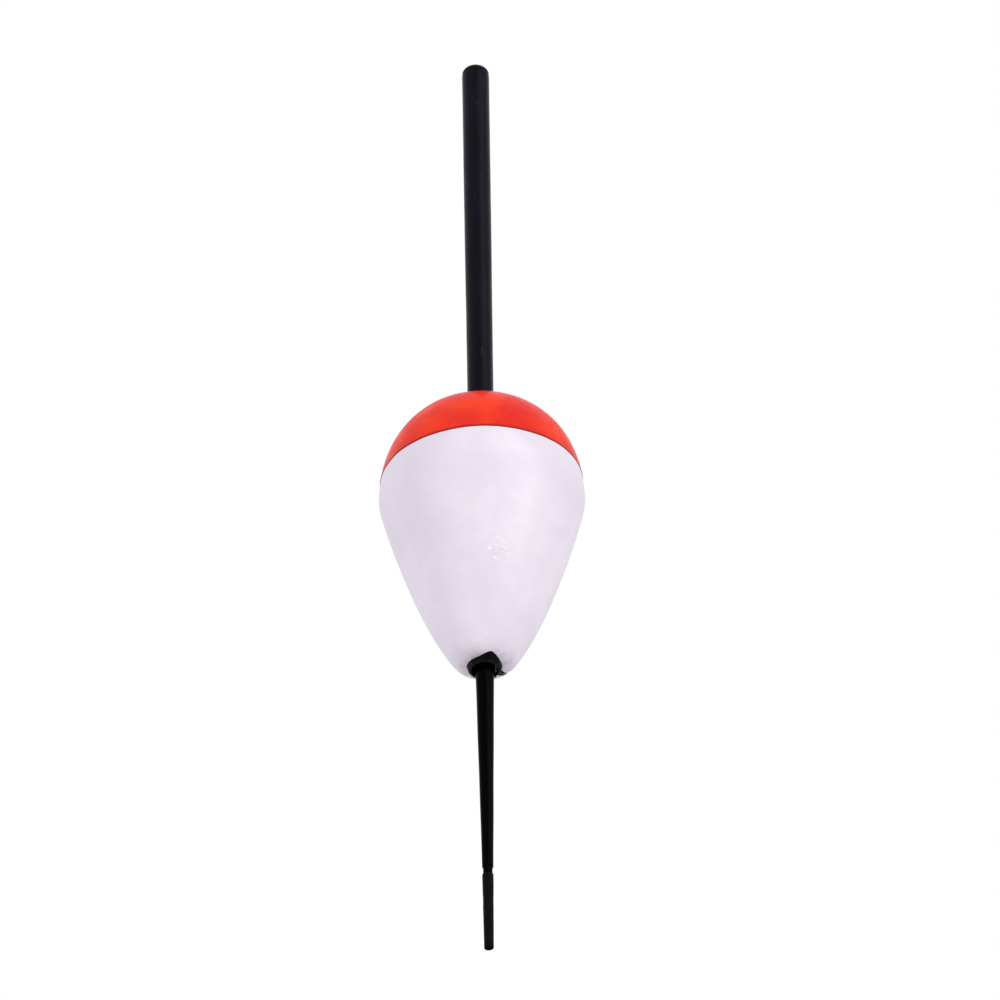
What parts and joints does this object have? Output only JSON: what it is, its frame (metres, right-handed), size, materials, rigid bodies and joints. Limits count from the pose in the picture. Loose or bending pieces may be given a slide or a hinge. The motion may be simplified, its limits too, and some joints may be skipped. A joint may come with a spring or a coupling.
{
  "type": "bobber float",
  "caption": "Pear-shaped slotted peg float: white foam body with a red crown and a long black tapered stick that pulls out, with a soft line sleeve on its tip.",
  "frame": {"origin": "on the float's axis at the waterline, the plane of the red coat's lower edge", "axes": "+Z along the stick and up as it floats; +X out of the body through the middle of the line slit"},
  "size_m": [0.038, 0.038, 0.1973],
  "materials": {
    "foam_core": "closed-cell rigid foam, bare where the skin stops",
    "base_coat": "thick glossy white paint over foam, faint bead texture",
    "cap_coat": "glossy red dipped top coat",
    "bore_liner": "black split plastic tube",
    "upper_tube": "satin black extruded plastic tube",
    "top_plug": "satin black moulded plug",
    "lower_stem": "smooth black moulded plastic",
    "line_sleeve": "soft black silicone rubber"
  },
  "bodies": {
    "float_body": {"foam_core": "foam_core", "base_coat": "base_coat", "cap_coat": "cap_coat", "bore_liner": "bore_liner"},
    "stick": {"upper_tube": "upper_tube", "top_plug": "top_plug", "lower_stem": "lower_stem"},
    "sleeve": {"line_sleeve": "line_sleeve"}
  },
  "joints": [
    {"name": "stick_pull", "type": "slide", "parent": "float_body", "child": "stick", "axis": [0, 0, 1], "range_m": [0, 0.1195]},
    {"name": "sleeve_slide", "type": "slide", "parent": "stick", "child": "sleeve", "axis": [0, 0, -1], "range_m": [0, 0.017]}
  ]
}
